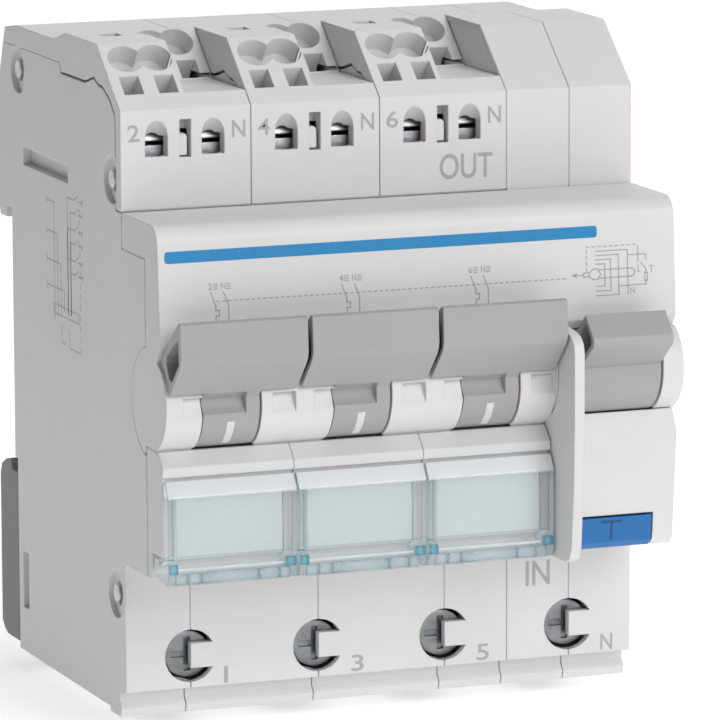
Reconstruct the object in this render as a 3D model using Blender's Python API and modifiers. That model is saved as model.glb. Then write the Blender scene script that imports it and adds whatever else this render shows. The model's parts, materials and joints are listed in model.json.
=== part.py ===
"""Residual current device with three built-in circuit breakers, four modules wide, for a 35 mm rail.

The origin is the centre of the rail seat on the back. +X runs along the rail to the right, +Y points into
the wall and +Z is up. Lengths are written in millimetres, and MM turns them into Blender's metres.
"""

import math

import bmesh
import bpy
from mathutils import Vector

MM = 0.001

# Driving dimensions.
MODULE = 17.5
WIDTH = 4 * MODULE
HALF_WIDTH = WIDTH / 2
BREAKERS = 3
SEAM = 0.06
WALL = 1.2
END_WALL = 1.6
WEB = 0.6

FACE_Y = -45.4
FACE_BOTTOM_Z = -38.8
NOSE_TOP_Z = 23.4
NOSE_FRONT_Y = -60.1
NOSE_BOTTOM_Z = -21.9
NOSE_SPLIT_Y = -54.6
CASE_TOP_Z = 43.8
CASE_REAR_Y = 5.6
CASE_BOTTOM_Z = -41.8

# The rockers turn in a half-round band across the front.
AXIS_Y = -56.1
AXIS_Z = 0.7
SWITCH_AXIS = (-56.7, 1.6)
SWITCH_SPLIT_Z = -4.1
EAR_RADIUS = 7.15
BAND_RADIUS = 6.1
DRUM_RADIUS = 5.9
BREAKER_DRUM_HALF = 3.75
LEVER_DRUM_HALF = 5.75
TOGGLE_HALF = 8.45
LEVER_HALF = 5.55

# The slanted wire entry faces on top.
SLANT = math.atan2(43.8 - 36.25, 45.4 - 36.2)
NOTCH_FLOOR_Z = 37.95
NOTCH_LEFT = 9.3

# The screw terminals at the bottom.
SCREW_Z = -34.6
SCREW_HOLE_RADIUS = 3.45
TONGUE_HALF = 1.63
ENTRY_Y = -33.9
ENTRY_RADIUS = 3.6

TIE_SCREWS = {"top_rear": (-3.2, 36.7), "top_front": (-41.6, 27.2), "bottom_front": (-41.8, -26.4)}
TIE_RADIUS = 0.8
TIE_HEAD_RADIUS = 1.2

HINGE_Y = -57.6
HINGE_Z = -20.1
HINGE_RADIUS = 1.3

X_PLATE_TURN = (math.pi / 2, 0, math.pi / 2)
Y_PLATE_TURN = (math.pi / 2, 0, 0)


def new_collection(name):
    found = bpy.data.collections.new(name)
    bpy.context.scene.collection.children.link(found)
    return found


def clear_scene():
    for obj in list(bpy.data.objects):
        bpy.data.objects.remove(obj, do_unlink=True)


def new_material(name, colour, roughness, metallic=0.0, alpha=1.0):
    material = bpy.data.materials.new(name)
    material.use_nodes = True
    shader = material.node_tree.nodes["Principled BSDF"]
    shader.inputs["Base Color"].default_value = (*colour, 1)
    shader.inputs["Roughness"].default_value = roughness
    shader.inputs["Metallic"].default_value = metallic
    shader.inputs["Alpha"].default_value = alpha
    return material


clear_scene()
PARTS = new_collection("residual_current_device")
CUTTERS = new_collection("cutters")
HOUSING = new_material("housing_plastic", (0.70, 0.69, 0.685), 0.5)
ROCKER = new_material("rocker_plastic", (0.36, 0.365, 0.37), 0.45)
CLEAR = new_material("clear_plastic", (0.80, 0.90, 0.93), 0.1, alpha=0.35)
CARD = new_material("label_card", (0.60, 0.66, 0.68), 0.7)
BLUE = new_material("button_plastic", (0.006, 0.17, 0.47), 0.4)
CLIP = new_material("clip_plastic", (0.17, 0.17, 0.175), 0.55)
STEEL = new_material("zinc_plated_steel", (0.60, 0.62, 0.64), 0.3, 1.0)
COPPER = new_material("copper", (0.72, 0.36, 0.22), 0.35, 1.0)
BOARD = new_material("circuit_board", (0.03, 0.22, 0.09), 0.5)
DARK = new_material("dark_plastic", (0.05, 0.05, 0.055), 0.5)


def link(name, mesh, material):
    obj = bpy.data.objects.new(name, mesh)
    PARTS.objects.link(obj)
    if material:
        mesh.materials.clear()
        mesh.materials.append(material)
    return obj


def solid_from_curve(curve):
    """The curve object's evaluated shape as a welded mesh object, in the curve's place."""
    bpy.context.view_layer.update()
    graph = bpy.context.evaluated_depsgraph_get()
    mesh = bpy.data.meshes.new_from_object(curve.evaluated_get(graph))
    form = bmesh.new()
    form.from_mesh(mesh)
    bmesh.ops.remove_doubles(form, verts=form.verts, dist=1e-6)
    bmesh.ops.recalc_face_normals(form, faces=form.faces)
    form.to_mesh(mesh)
    form.free()
    name, place = curve.name, curve.matrix_world.copy()
    bpy.data.objects.remove(curve)
    obj = link(name, mesh, None)
    obj.name = name
    obj.matrix_world = place
    return obj


def plate(name, outline, low, high, material=None, axis="X"):
    """A flat outline extruded from low to high along axis: (Y, Z) points for X, (X, Z) for Y, (X, Y) for Z."""
    curve = bpy.data.curves.new(name, "CURVE")
    curve.dimensions = "2D"
    curve.fill_mode = "BOTH"
    curve.extrude = (high - low) / 2 * MM
    spline = curve.splines.new("POLY")
    spline.points.add(len(outline) - 1)
    for point, (u, v) in zip(spline.points, outline):
        point.co = (u * MM, v * MM, 0, 1)
    spline.use_cyclic_u = True
    obj = bpy.data.objects.new(name, curve)
    PARTS.objects.link(obj)
    middle = (low + high) / 2 * MM
    if axis == "X":
        obj.rotation_euler = X_PLATE_TURN
        obj.location = (middle, 0, 0)
    elif axis == "Y":
        obj.rotation_euler = Y_PLATE_TURN
        obj.location = (0, middle, 0)
    else:
        obj.location = (0, 0, middle)
    obj = solid_from_curve(obj)
    if material:
        obj.data.materials.append(material)
    return obj


def box(name, low, high, material=None, turn=(0, 0, 0), taper=1.0):
    """A box between two corners, turned about its centre. taper scales its lower face."""
    size = [(b - a) * MM for a, b in zip(low, high)]
    form = bmesh.new()
    bmesh.ops.create_cube(form, size=1)
    bmesh.ops.scale(form, vec=size, verts=form.verts)
    lower = [vert for vert in form.verts if vert.co.z < 0]
    bmesh.ops.scale(form, vec=(taper, taper, 1), verts=lower)
    mesh = bpy.data.meshes.new(name)
    form.to_mesh(mesh)
    form.free()
    obj = link(name, mesh, material)
    obj.location = [(a + b) / 2 * MM for a, b in zip(low, high)]
    obj.rotation_euler = turn
    return obj


def cylinder(name, radius, low, high, centre, material=None, axis="X", segments=32, turn=None):
    """A cylinder from low to high along axis, centred on the other two coordinates."""
    form = bmesh.new()
    bmesh.ops.create_cone(
        form, cap_ends=True, segments=segments, radius1=radius * MM, radius2=radius * MM, depth=(high - low) * MM
    )
    mesh = bpy.data.meshes.new(name)
    form.to_mesh(mesh)
    form.free()
    obj = link(name, mesh, material)
    middle = (low + high) / 2
    place = {
        "X": (middle, centre[0], centre[1]),
        "Y": (centre[0], middle, centre[1]),
        "Z": (centre[0], centre[1], middle),
    }[axis]
    obj.location = [value * MM for value in place]
    turns = {"X": (0, math.pi / 2, 0), "Y": (math.pi / 2, 0, 0), "Z": (0, 0, 0)}
    obj.rotation_euler = turn or turns[axis]
    shade(obj)
    return obj


def turned(name, profile, material, location, turn, steps=24):
    """A profile of (radius, height) points, listed down its outer side, turned about its own Z axis."""
    mesh = bpy.data.meshes.new(name)
    form = bmesh.new()
    verts = [form.verts.new((radius * MM, 0, height * MM)) for radius, height in profile]
    for first, second in zip(verts, verts[1:]):
        form.edges.new((first, second))
    form.to_mesh(mesh)
    form.free()
    obj = link(name, mesh, material)
    screw = obj.modifiers.new("turn", "SCREW")
    screw.steps = screw.render_steps = steps
    screw.use_merge_vertices = True
    screw.merge_threshold = 0.00001
    screw.use_smooth_shade = True
    obj.location = [value * MM for value in location]
    obj.rotation_euler = turn
    return obj


def shade(obj):
    obj.data.shade_smooth()
    obj.data.set_sharp_from_angle(angle=math.radians(35))


def hide(obj):
    """Moves a tool of a Boolean to the cutters, out of the model."""
    PARTS.objects.unlink(obj)
    CUTTERS.objects.link(obj)
    obj.hide_render = True
    obj.display_type = "WIRE"


def boolean(obj, tools, operation):
    for tool in tools:
        modifier = obj.modifiers.new(tool.name, "BOOLEAN")
        modifier.operation = operation
        modifier.solver = "EXACT"
        modifier.object = tool
        if tool.name in PARTS.objects:
            hide(tool)
    return obj


def cut(obj, *tools):
    return boolean(obj, tools, "DIFFERENCE")


def join(obj, *tools):
    return boolean(obj, tools, "UNION")


def pivot(name, place, *children):
    """An empty on a joint's axis that its moving pieces hang from."""
    empty = bpy.data.objects.new(name, None)
    PARTS.objects.link(empty)
    empty.location = [value * MM for value in place]
    bpy.context.view_layer.update()
    for child in children:
        child.parent = empty
        child.matrix_parent_inverse = empty.matrix_world.inverted()


def arc(centre, radius, first, last, count):
    """Points of an arc in the (Y, Z) plane, with angles in degrees from the front (-Y) up towards +Z."""
    points = []
    for i in range(count + 1):
        angle = math.radians(first + (last - first) * i / count)
        points.append((centre[0] - radius * math.cos(angle), centre[1] + radius * math.sin(angle)))
    return points


def module_left(index):
    return index * MODULE - HALF_WIDTH


def module_middle(index):
    return module_left(index) + MODULE / 2


REAR_OUTLINE = [
    (CASE_REAR_Y, 33.0), (CASE_REAR_Y, 17.6), (5.0, 16.3), (2.2, 16.3), (2.2, 17.8), (0, 17.8),
    (0, -18.4), (CASE_REAR_Y, -18.4), (CASE_REAR_Y, -40.4), (4.4, CASE_BOTTOM_Z),
]
FOOT_OUTLINE = [
    (-39.0, CASE_BOTTOM_Z), (-39.0, -42.4), (-43.2, -42.4), (-43.5, -41.3), (-42.8, -40.4), (-42.8, -39.2),
    (FACE_Y, FACE_BOTTOM_Z), (FACE_Y, -22.0), (-54.3, -22.0), (-54.3, 18.7),
]
BREAKER_TOP = [
    (FACE_Y, 18.7), (FACE_Y, 23.3), (-43.2, 23.3), (-43.2, 33.8), (-43.0, 35.5), (-41.25, 37.1), (-38.4, 38.4),
    (-36.9, 38.45), (-34.95, 39.2), (-31.3, 38.25), (-21.5, 38.25), (-21.0, 39.68), (3.0, 39.68),
]
SWITCH_TOP = [
    (FACE_Y, 18.7), (FACE_Y, 36.25), (-36.2, CASE_TOP_Z), (-23.6, CASE_TOP_Z), (-18.6, 42.5), (-2.8, 42.5),
    (2.1, 41.8),
]
CAVITY_REAR = [(-41.6, -40.4), (-2.6, -40.4), (-2.6, 19.2), (4.2, 19.2), (4.2, 32.7)]
CAVITY_FRONT = [
    (-44.2, 17.5), (-55.0, 17.5), (-55.0, -20.8), (-44.2, -20.8), (-44.2, -38.0), (-41.6, -38.8),
]
BREAKER_CAVITY = CAVITY_REAR + [(1.2, 41.0), (-44.2, 41.0)] + CAVITY_FRONT
SWITCH_CAVITY = CAVITY_REAR + [
    (1.0, 40.7), (-3.0, 41.3), (-18.8, 41.3), (-23.8, 42.6), (-35.8, 42.6), (-44.2, 35.7),
] + CAVITY_FRONT


def screw_hole_outline(middle):
    """A round screw hole with a tongue that reaches in from its right side to the middle."""
    start = math.degrees(math.asin(TONGUE_HALF / SCREW_HOLE_RADIUS))
    points = []
    for i in range(21):
        angle = math.radians(start + (360 - 2 * start) * i / 20)
        points.append((middle + SCREW_HOLE_RADIUS * math.cos(angle), SCREW_Z + SCREW_HOLE_RADIUS * math.sin(angle)))
    return points + [(middle, SCREW_Z - TONGUE_HALF), (middle, SCREW_Z + TONGUE_HALF)]


def side_dish(name, side, centre):
    """A round dish that is deepest towards the rear, with a flat seat for the tie screw's head."""
    tilt = side * math.radians(6.5)
    dish = cylinder(
        name + "_dish", 3.15, side * (HALF_WIDTH + 1.5) - 2, side * (HALF_WIDTH + 1.5) + 2, centre, segments=28,
        turn=(0, math.pi / 2, tilt),
    )
    seat_low, seat_high = sorted((side * (HALF_WIDTH - 0.8), side * (HALF_WIDTH + 1)))
    seat = cylinder(name + "_seat", 1.6, seat_low, seat_high, centre, segments=20)
    return [dish, seat]


def case_shells():
    """The six housing shells. Their seams run down the middle of the modules, through the screw holes."""
    seams = [module_middle(i) for i in range(BREAKERS)]
    spans = {
        "case_end_left": (-HALF_WIDTH, seams[0] - SEAM),
        "case_middle_1": (seams[0] + SEAM, seams[1] - SEAM),
        "case_middle_2": (seams[1] + SEAM, seams[2] - SEAM),
        "case_middle_3": (seams[2] + SEAM, MODULE - SEAM),
        "rcd_case_left": (MODULE + SEAM, 1.5 * MODULE - SEAM),
        "rcd_case_right": (1.5 * MODULE + SEAM, HALF_WIDTH),
    }
    hollows = {
        "case_end_left": [(-HALF_WIDTH + END_WALL, seams[0] + 1)],
        "case_middle_1": [(seams[0] - 1, -MODULE - WEB), (-MODULE + WEB, seams[1] + 1)],
        "case_middle_2": [(seams[1] - 1, -WEB), (WEB, seams[2] + 1)],
        "case_middle_3": [(seams[2] - 1, MODULE - SEAM - WALL)],
        "rcd_case_left": [(MODULE + SEAM + WALL, 1.5 * MODULE + 1)],
        "rcd_case_right": [(1.5 * MODULE - 1, HALF_WIDTH - END_WALL)],
    }
    shells = {}
    for name, (low, high) in spans.items():
        is_switch = name.startswith("rcd")
        outline = REAR_OUTLINE + FOOT_OUTLINE + (SWITCH_TOP if is_switch else BREAKER_TOP)
        shell = plate(name, outline, low, high, HOUSING)
        for i, (start, end) in enumerate(hollows[name]):
            cavity = SWITCH_CAVITY if is_switch else BREAKER_CAVITY
            cut(shell, plate(f"{name}_hollow_{i}", cavity, start, end))
        shells[name] = shell

    for side, names in ((-1, ["case_end_left", "case_middle_1"]), (1, ["rcd_case_left", "rcd_case_right"])):
        low, high = sorted((side * (MODULE + 0.15), side * (HALF_WIDTH + 1)))
        channel = box(f"clip_channel_{side}", (low, -1.1, -43), (high, 7, -15.9))
        for name in names:
            cut(shells[name], channel)
    for i, name in enumerate(["case_middle_1", "case_middle_2", "case_middle_3"]):
        right = module_left(i) + MODULE
        cut(shells[name], box(f"{name}_notch", (right - 9.8, -44.5, 36.4), (right + 0.2, -29.6, 41)))
    for key, centre in TIE_SCREWS.items():
        hole = cylinder(f"tie_hole_{key}", 1.05, -HALF_WIDTH - 2, HALF_WIDTH + 2, centre, segments=12)
        for shell in shells.values():
            cut(shell, hole)
        cut(shells["case_end_left"], *side_dish(f"left_{key}", -1, centre))
        cut(shells["rcd_case_right"], *side_dish(f"right_{key}", 1, centre))
    for name, side, axis in (("case_end_left", -1, (AXIS_Y, AXIS_Z)), ("rcd_case_right", 1, SWITCH_AXIS)):
        low, high = sorted((side * (HALF_WIDTH - END_WALL - 0.3), side * (HALF_WIDTH + 1)))
        cut(shells[name], cylinder(f"{name}_ear_room", EAR_RADIUS + 0.15, low, high, axis, segments=56))

    pairs = [
        ("case_end_left", "case_middle_1"), ("case_middle_1", "case_middle_2"), ("case_middle_2", "case_middle_3"),
        ("rcd_case_left", "rcd_case_right"),
    ]
    for i, pair in enumerate(pairs):
        middle = module_middle(i)
        hole = plate(f"screw_hole_{i + 1}", screw_hole_outline(middle), -47, -43.6, axis="Y")
        entry = cylinder(
            f"wire_entry_{i + 1}", ENTRY_RADIUS, -44, -39, (middle, ENTRY_Y), axis="Z", segments=24
        )
        for name in pair:
            cut(shells[name], hole, entry)

    for name, low, high in (("case_end_left", -36, -33.85), ("rcd_case_right", 33.85, 36)):
        cut(shells[name], box(f"{name}_slot", (low, -23.9, 24.25), (high, -5.2, 26.6)))
        cut(shells[name], box(f"{name}_vent", (low, -5.3, -35.8), (high, -2.9, -28.2)))
    foot = [(-1.6, -41.0), (-2.4, -43.2), (-4.6, -44.3), (-8.6, -44.3), (-12.2, -43.4), (-14.6, -41.0)]
    join(shells["case_middle_1"], plate("foot_left", foot, -24.5, -10.5))
    join(shells["case_middle_3"], plate("foot_right", foot, 10.5, 16.5))


def slant_cylinder(name, x, y, z, radius, depth):
    """A round cutter square to the slanted face, centred on it at (x, y, z) and depth deep."""
    reach = 3.0
    shift = (reach - depth) / 2
    obj = cylinder(
        name, radius, -(reach + depth) / 2, (reach + depth) / 2, (0, 0), axis="Z", segments=24, turn=(SLANT, 0, 0)
    )
    out = Vector((0, -math.sin(SLANT), math.cos(SLANT)))
    obj.location = (Vector((x, y, z)) + out * shift) * MM
    return obj


def slant_funnel(name, x, y, z, width, length, depth, reach=0.6):
    """A square funnel square to the slanted face, narrower at its bottom."""
    shift = (reach - depth) / 2
    obj = box(
        name, (-width / 2, -length / 2, -(reach + depth) / 2), (width / 2, length / 2, (reach + depth) / 2),
        turn=(SLANT, 0, 0), taper=0.72,
    )
    out = Vector((0, -math.sin(SLANT), math.cos(SLANT)))
    obj.location = (Vector((x, y, z)) + out * shift) * MM
    return obj


BLOCK_OUTLINE = [
    (2.9, 39.8), (2.1, 41.8), (-2.8, 42.5), (-18.6, 42.5), (-23.6, CASE_TOP_Z), (-36.2, CASE_TOP_Z),
    (FACE_Y, 36.25), (FACE_Y, 23.52), (-43.6, 23.52), (-43.6, 33.9), (-43.35, 35.75), (-41.45, 37.45),
    (-38.5, 38.75), (-37.05, 38.8), (-35.0, 39.55), (-31.4, 38.6), (-21.7, 38.6), (-21.2, 39.8),
]
BLOCK_CORE = [
    (-23.0, 34.8), (-23.0, 40.5), (-41.0, 39.2), (-43.9, 36.6), (-43.9, 33.4), (-40.5, 33.4), (-40.5, 34.8),
]
NOTCH_OUTLINE = [(-22.66, 45.0), (-24.1, 43.8), (-31.1, NOTCH_FLOOR_Z), (-47.0, NOTCH_FLOOR_Z), (-47.0, 45.0)]
LEDGE_UNDER_NOTCH = [(-43.9, 36.7), (-43.9, 37.2), (-42.9, 38.1), (-29.9, 38.1), (-29.9, 36.7)]
ARCH_HALF = 1.52


def push_in_block(index):
    """The terminal block on top of a breaker: wire entries and release holes on two slanted steps."""
    left = module_left(index)
    name = f"push_in_block_{index + 1}"
    start = left if index == 0 else left + SEAM
    block = plate(name, BLOCK_OUTLINE, start, left + MODULE - SEAM, HOUSING)
    join(block, plate(name + "_core", BLOCK_CORE, left + 1.9, left + 15.8))
    join(block, plate(name + "_ledge", LEDGE_UNDER_NOTCH, left + 8.0, left + MODULE - SEAM))
    cut(block, plate(name + "_notch", NOTCH_OUTLINE, left + NOTCH_LEFT, left + MODULE + 1))
    for i, (x, y, z) in enumerate(((2.7, -41.98, 39.06), (7.33, -41.98, 39.06), (14.7, -29.7, 39.12))):
        cut(block, slant_funnel(f"{name}_entry_{i}", left + x, y, z, 2.7, 3.3, 4.4))
        cut(block, slant_funnel(f"{name}_throat_{i}", left + x, y - 0.45, z - 0.35, 1.7, 0.9, 5.4))
    for i, (x, y, z) in enumerate(((3.1, -38.4, 42.0), (7.05, -38.4, 42.0), (10.9, -25.95, 42.26), (14.3, -25.95, 42.26))):
        cut(block, slant_cylinder(f"{name}_release_{i}", left + x, y, z, 2.28, 3.0))
    for i, (x, y, z) in enumerate(((5.08, -38.4, 42.0), (12.6, -25.95, 42.26))):
        web = box(f"{name}_bridge_{i}", (-1.9, -1.13, -1.0), (1.9, 1.13, 1.0), turn=(SLANT, 0, 0))
        along = Vector((0, -math.cos(SLANT), -math.sin(SLANT)))
        out = Vector((0, -math.sin(SLANT), math.cos(SLANT)))
        web.location = (Vector((left + x, y, z)) + along * 1.12 - out * 1.9) * MM
        cut(block, web)
    cut(block, box(name + "_slot", (left + 3.2, -29.1, 39.3), (left + 6.0, -26.3, 45)))
    cut(block, box(name + "_slit", (left + 7.35, -23.0, 43.0), (left + 10.3, -22.7, 45)))
    for i, x in enumerate((4.8, 12.4)):
        pipe = cylinder(
            f"{name}_test_pipe_{i}", ARCH_HALF, -3.2, 3.2, (0, 0), segments=20, turn=(math.radians(45), 0, 0)
        )
        pipe.location = Vector((left + x, FACE_Y + 0.8, 31.95)) * MM
        cut(block, pipe)
        cut(block, box(f"{name}_test_slot_{i}", (left + x - ARCH_HALF, -46.5, 30.25), (left + x + ARCH_HALF, -43, 32.75)))
    cut(block, box(name + "_window", (left + 7.9, -46.5, 30.0), (left + 9.45, -43, 34.85)))

    latch_outline = [
        (left + 7.95, 30.2), (left + 9.1, 30.2), (left + 9.1, 32.6), (left + 8.8, 33.0), (left + 7.95, 33.0),
    ]
    plate(f"block_latch_{index + 1}", latch_outline, -44.9, -40.9, HOUSING, axis="Y")
    for letter, x in (("l", 4.8), ("n", 12.4)):
        clamp_outline = [
            (-43.0, 28.5), (-37.4, 28.5), (-36.6, 29.3), (-36.6, 32.3), (-37.4, 33.05), (-42.1, 33.05),
            (-42.75, 32.75), (-43.0, 32.2),
        ]
        clamp = plate(f"output_clamp_{index + 1}{letter}", clamp_outline, left + x - 1.9, left + x + 1.9, STEEL)
        cut(clamp, box(f"{clamp.name}_eye", (left + x - 3, -42.0, 29.4), (left + x + 3, -37.5, 32.1)))
        cut(clamp, box(f"{clamp.name}_gap", (left + x - 3, -43.6, 31.4), (left + x + 3, -41.8, 31.95)))


BAND_START, BAND_END = 61.5, -67.5
NOSE_CORNER = (-56.75, 20.9)
COVER_FRONT = (
    [(-45.7, NOSE_TOP_Z)] + arc(NOSE_CORNER, 2.5, 90, 4, 6) + [(-60.1, 8.3), (-58.7, 6.3)]
    + arc((AXIS_Y, AXIS_Z), BAND_RADIUS, BAND_START, BAND_END, 14)
)
COVER_BACK = (
    [(-44.0, NOSE_TOP_Z - WALL)] + arc(NOSE_CORNER, 1.3, 90, 4, 4) + [(-58.85, 8.7), (-57.4, 6.4)]
    + arc((AXIS_Y, AXIS_Z), BAND_RADIUS - 2.4, 74, -70, 12)
)


def front_cover():
    """The plate across the whole nose, with the half-round band and the four openings for the rockers."""
    bottom = AXIS_Z + BAND_RADIUS * math.sin(math.radians(BAND_END))
    outline = COVER_FRONT + [(NOSE_SPLIT_Y, bottom), (NOSE_SPLIT_Y, 19.0), (-45.7, 19.0)]
    cover = plate("front_cover", outline, -HALF_WIDTH, HALF_WIDTH, HOUSING)
    cut(cover, box("switch_band_room", (MODULE + SEAM, -64, -8), (HALF_WIDTH + 1, -50, -2.4)))
    switch_band = arc(SWITCH_AXIS, BAND_RADIUS, 58, -64, 14)
    switch_band += [(NOSE_SPLIT_Y, switch_band[-1][1]), (NOSE_SPLIT_Y, 7.0)]
    join(cover, plate("switch_band", switch_band, MODULE - SEAM, HALF_WIDTH))
    hollow = COVER_BACK + [(-57.9, -6), (-44.0, -6)]
    cut(cover, plate("cover_hollow", hollow, -HALF_WIDTH + END_WALL, HALF_WIDTH - END_WALL))
    for i in range(BREAKERS + 1):
        middle = module_middle(i)
        half = (BREAKER_DRUM_HALF if i < BREAKERS else LEVER_DRUM_HALF) + 0.2
        cut(cover, box(f"rocker_opening_{i + 1}", (middle - half, -64, -6.6), (middle + half, -50, 6.75)))
        if i == BREAKERS:
            cut(cover, cylinder("lever_drum_room", DRUM_RADIUS + 0.3, middle - half, middle + half, SWITCH_AXIS))
            continue
        for tag, low, high in (("left", -6.5, -3.7), ("right", 5.4, 8.5)):
            pocket = [(-64.0, 2.1), (-60.9, 2.1), (-62.2, -0.8), (-64.0, -0.8)]
            cut(cover, plate(f"cover_pocket_{i + 1}_{tag}", pocket, middle + low, middle + high))
    for side, axis in ((-1, (AXIS_Y, AXIS_Z)), (1, SWITCH_AXIS)):
        low, high = sorted((side * HALF_WIDTH, side * (HALF_WIDTH - END_WALL)))
        foot = bottom if side < 0 else switch_band[-1][1]
        ear = arc(axis, EAR_RADIUS, 105, 250, 18) + [(NOSE_SPLIT_Y + 0.3, axis[1] - 6.6), (NOSE_SPLIT_Y + 0.3, foot)]
        join(cover, plate(f"cover_ear_{side}", ear + [(NOSE_SPLIT_Y - 0.3, foot), (NOSE_SPLIT_Y - 0.3, 7.4)], low, high))


def label_holder(index):
    """The lower nose front of a breaker: a slanted strip, a flat strip and the recess for the label cover."""
    left = module_left(index)
    name = f"label_holder_{index + 1}"
    outline = [
        (NOSE_SPLIT_Y, -5.15), (-58.6, -5.15), (-60.5, -6.95), (-60.5, -8.2), (-60.0, -8.2), (-60.0, -18.4),
        (-55.9, -18.4), (-55.9, NOSE_BOTTOM_Z), (NOSE_SPLIT_Y, NOSE_BOTTOM_Z),
    ]
    start = left if index == 0 else left + SEAM
    holder = plate(name, outline, start, left + MODULE - SEAM, HOUSING)
    cut(holder, box(name + "_hollow", (left + 1.6, -58.6, -17), (left + MODULE - 1.4, -54, -6.8)))
    drum_room(holder, module_middle(index), BREAKER_DRUM_HALF)
    card_low, card_high = (left + 1.6, -60.6, -18.3), (left + MODULE - 1.6, -60.3, -10.0)
    box(f"label_card_{index + 1}", card_low, card_high, CARD)


def drum_room(obj, middle, half, axis=(AXIS_Y, AXIS_Z)):
    """Cuts the space in which a rocker's drum turns."""
    low, high = middle - half - 0.3, middle + half + 0.3
    cut(obj, cylinder(f"{obj.name}_drum_room", DRUM_RADIUS + 0.3, low, high, axis, segments=40))


COVER_OUTLINE = [
    (-60.75, -8.5), (-62.0, -10.4), (-62.0, -21.1), (-61.3, -21.8), (HINGE_Y, HINGE_Z - 1.05), (HINGE_Y, HINGE_Z),
    (-60.9, -20.1), (-61.2, -19.6), (-61.2, -10.6), (-60.25, -9.1),
]
RIB_OUTLINE = [
    (-60.75, -8.5), (-62.0, -10.4), (-62.0, -21.1), (-61.3, -21.8), (HINGE_Y, HINGE_Z - 1.05), (HINGE_Y, HINGE_Z),
    (-60.3, -18.7), (-60.3, -9.1),
]


def label_cover(index):
    """The clear flap over a label. Its barrel turns at the nose's lower edge."""
    left = module_left(index) + 0.15
    right = left + MODULE - 0.3
    name = f"label_cover_{index + 1}"
    cover = plate(name, COVER_OUTLINE, left, right, CLEAR)
    join(cover, cylinder(name + "_barrel", HINGE_RADIUS, left, right, (HINGE_Y, HINGE_Z), segments=20))
    join(cover, plate(name + "_rib_left", RIB_OUTLINE, left, left + 1.3))
    join(cover, plate(name + "_rib_right", RIB_OUTLINE, right - 1.3, right))
    pivot(name + "_hinge", ((left + right) / 2, HINGE_Y, HINGE_Z), cover)


GRIP_OUTLINE = (
    [(-66.1, 12.4), (-66.75, 12.15), (-67.0, 8.0), (-66.85, 7.2), (-66.35, 6.4), (-62.6, 2.6)]
    + arc((AXIS_Y, AXIS_Z), 6.55, 24, 60, 3)
    + [(-60.5, 7.9)]
)
GRIP_POCKET = [(-66.0, 10.4), (-66.2, 7.1), (-63.4, 4.5), (-62.4, 4.9), (-61.4, 6.6), (-61.6, 7.6)]
LEVER_OUTLINE = (
    [(-64.2, 9.7), (-66.85, 7.0), (-67.05, 6.4), (-66.8, 5.8), (-62.6, 2.5)]
    + arc(SWITCH_AXIS, 6.4, 24, 46, 2)
    + [(-61.6, 7.4)]
)
LEVER_POCKET = [(-64.2, 8.7), (-66.1, 6.7), (-66.0, 6.1), (-62.9, 3.6), (-61.9, 4.6), (-62.4, 7.0)]
NECK_OUTLINE = [(-58.0, 4.5), (-61.3, 6.2), (-63.6, 4.4), (-62.9, 2.9), (-60.5, 0.4)]
LEDGE_OUTLINE = [(-63.5, 2.75), (-61.6, 2.35), (-60.75, 1.6), (-61.2, 0.6), (-62.2, -0.5), (-63.5, -0.5)]


def rocker(name, middle, outline, pocket, half, drum_half, axis=(AXIS_Y, AXIS_Z)):
    """A grip on a drum that turns in the front band, at rest in the upper, switched-on position."""
    grip = plate(name, outline, middle - half, middle + half, ROCKER)
    for side in (-1, 1):
        low, high = sorted((middle + side * (half - 4), middle + side * (half + 1)))
        cut(grip, plate(f"{name}_pocket_{side}", pocket, low, high))
    drum = cylinder(
        f"{name}_drum", DRUM_RADIUS, middle - drum_half, middle + drum_half, axis, segments=48
    )
    neck = plate(f"{name}_neck", NECK_OUTLINE, middle - drum_half + 0.1, middle + drum_half - 0.1)
    join(grip, drum, neck)
    shaft = cylinder(
        f"{name}_shaft", 1.5, middle - drum_half - 1.2, middle + drum_half + 1.2, axis, segments=16
    )
    join(grip, shaft)
    pivot(f"{name}_axis", (middle, *axis), grip)
    return grip


def rockers():
    for i in range(BREAKERS):
        middle = module_middle(i)
        toggle = rocker(f"toggle_{i + 1}", middle, GRIP_OUTLINE, GRIP_POCKET, TOGGLE_HALF, BREAKER_DRUM_HALF)
        cut(toggle, plate(f"toggle_{i + 1}_ledge", LEDGE_OUTLINE, middle - 5, middle + 1.9))
    rocker(
        "rcd_lever", module_middle(BREAKERS), LEVER_OUTLINE, LEVER_POCKET, LEVER_HALF, LEVER_DRUM_HALF, SWITCH_AXIS
    )


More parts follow.
